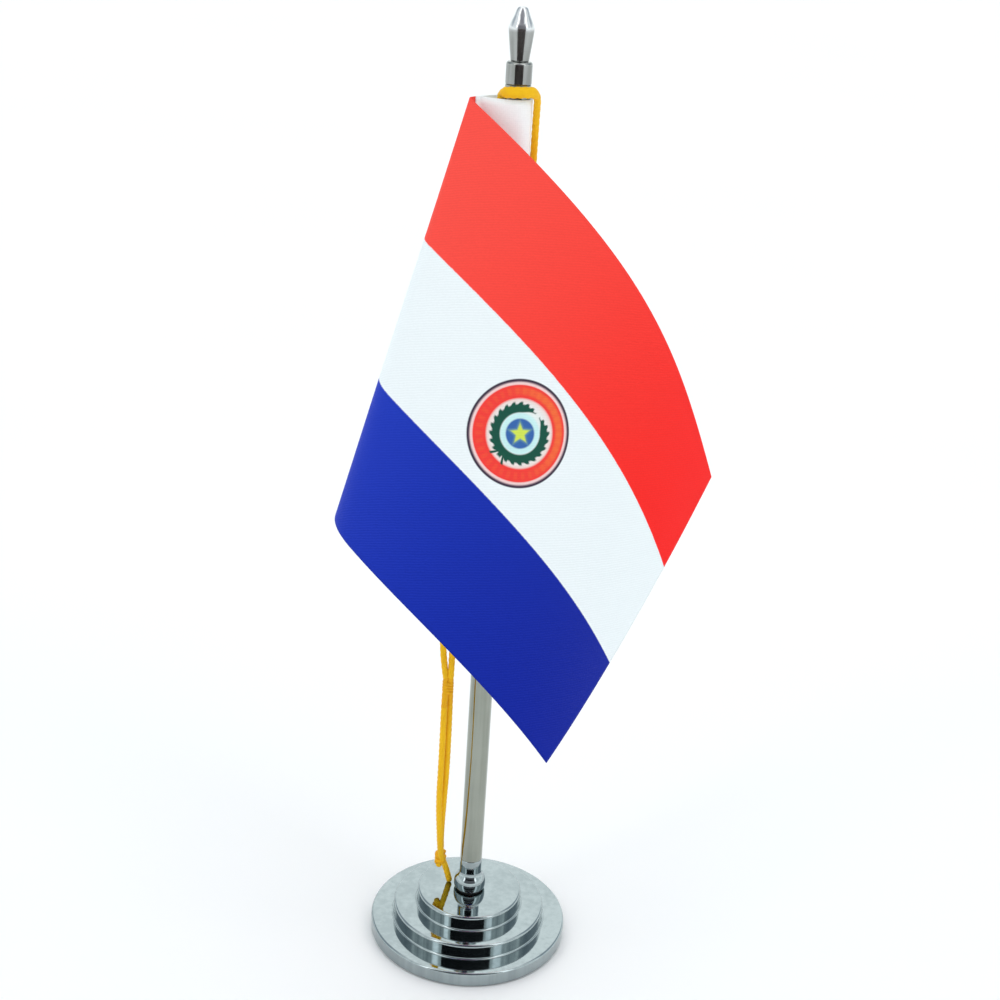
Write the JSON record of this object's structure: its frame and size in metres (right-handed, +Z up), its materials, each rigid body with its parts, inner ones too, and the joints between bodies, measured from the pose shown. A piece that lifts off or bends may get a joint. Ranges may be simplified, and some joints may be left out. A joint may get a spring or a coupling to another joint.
{
  "type": "desk flag stand",
  "caption": "Table-top flag on a chromed pole with a stepped round base, a screwed finial, a cloth flag on a sleeve and a tied cord.",
  "frame": {"origin": "centre of the base's underside, on the surface the stand rests on", "axes": "+Z up along the pole, +X to the right and -Y toward a viewer who faces the flag"},
  "size_m": [0.1229, 0.1131, 0.3348],
  "materials": {
    "chrome": "mirror polished",
    "steel": "zinc plated",
    "felt": "matt felt",
    "rubber": "matt",
    "canvas": "plain weave",
    "flag_cloth": "satin, printed in three bands",
    "thread": "sewing thread",
    "cord": "twisted satin cord"
  },
  "bodies": {
    "base": {"base_pad": "felt", "base_disc_lower": "chrome", "base_disc_middle": "chrome", "base_disc_upper": "chrome", "base_screw": "steel", "base_washer": "steel"},
    "foot_washer": {"foot_washer": "rubber"},
    "pole": {"pole_foot": "chrome", "pole_tube": "chrome", "pole_top_plug": "steel", "cord_loop": "cord", "cord_tail_left": "cord", "cord_tail_right": "cord", "cord_knot_upper": "cord", "cord_knot_lower": "cord"},
    "flag": {"flag_sleeve": "canvas", "flag_cloth": "flag_cloth", "seam_stitching": "thread"},
    "finial_collar": {"finial_collar": "chrome"},
    "finial": {"finial_tip": "chrome", "finial_stud": "steel"}
  },
  "joints": [
    {"name": "pole_rise", "type": "slide", "parent": "base", "child": "foot_washer", "axis": [0, 0, 1], "range_m": [0, 0.008]},
    {"name": "pole_turn", "type": "hinge", "parent": "foot_washer", "child": "pole", "pos_m": [0, 0, 0.0183], "axis": [0, 0, 1], "range_deg": [0, 3600]},
    {"name": "flag_swing", "type": "hinge", "parent": "pole", "child": "flag", "pos_m": [0, 0, 0.247], "axis": [0, 0, 1], "range_deg": [-20, 20]},
    {"name": "finial_rise", "type": "slide", "parent": "pole", "child": "finial_collar", "axis": [0, 0, 1], "range_m": [0, 0.007]},
    {"name": "finial_turn", "type": "hinge", "parent": "finial_collar", "child": "finial", "pos_m": [0, 0, 0.3187], "axis": [0, 0, 1], "range_deg": [0, 3600]}
  ],
  "couplings": [
    {"joint": "pole_turn", "follows": "pole_rise", "rad_per_m": 7854},
    {"joint": "finial_turn", "follows": "finial_rise", "rad_per_m": 8976}
  ]
}
